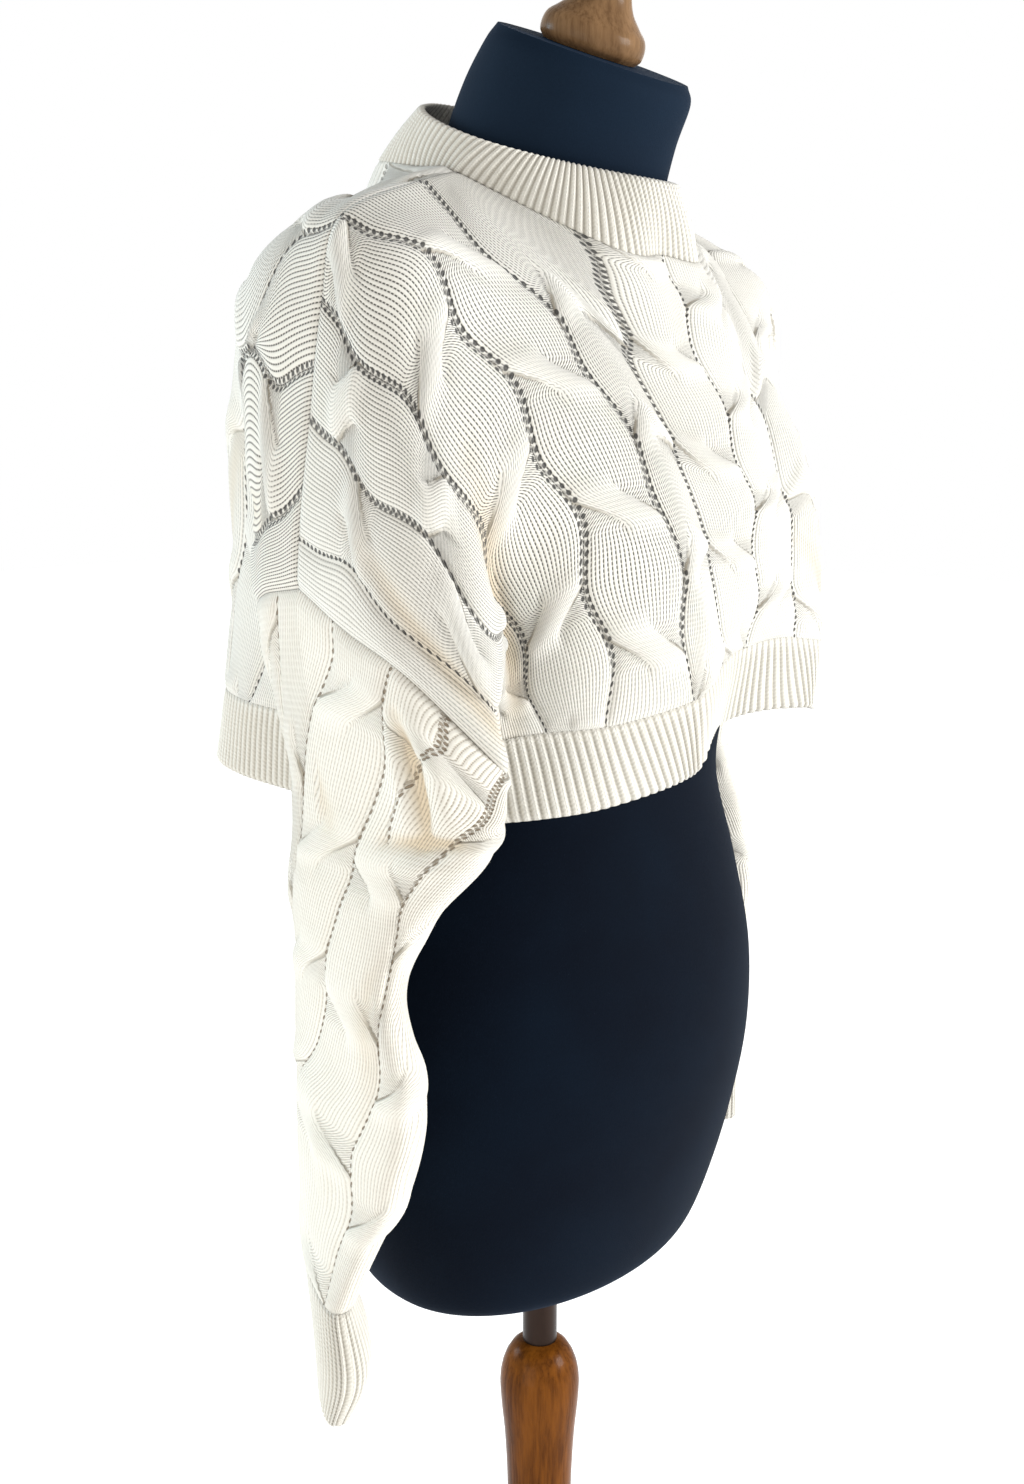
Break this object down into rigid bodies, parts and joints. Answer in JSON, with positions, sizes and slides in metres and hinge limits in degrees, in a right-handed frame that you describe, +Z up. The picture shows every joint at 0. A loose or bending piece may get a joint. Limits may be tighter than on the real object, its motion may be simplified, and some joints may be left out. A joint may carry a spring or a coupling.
{
  "type": "cropped cable-knit sweater on limbless dress form and wood stand",
  "caption": "Cropped aran cable-knit sweater with a ribbed mock neck and empty hanging sleeves, worn by a limbless black dress form on a turned wood stand.",
  "frame": {"origin": "on the floor, at the middle of the base's underside, on the pole's axis", "axes": "+Z up along the pole; the wearer faces -Y and the wearer's left is +X"},
  "size_m": [0.4882, 0.356, 1.5356],
  "materials": {
    "yarn": "matt cream wool yarn, hand knitted in thick cables",
    "jersey": "fine blue-black stretch jersey over padding",
    "light_wood": "turned wood, satin varnish",
    "dark_wood": "turned wood, glossy brown varnish",
    "tube": "dark bronze coating, satin"
  },
  "bodies": {
    "root": {"front_panel": "yarn", "back_panel": "yarn", "front_hem_rib": "yarn", "back_hem_rib": "yarn", "collar": "yarn", "sleeve_left": "yarn", "sleeve_right": "yarn", "cuff_left": "yarn", "cuff_right": "yarn", "dress_form": "jersey", "finial": "light_wood", "steel_tube": "tube", "wood_pole": "dark_wood", "wood_base": "dark_wood"}
  },
  "joints": []
}
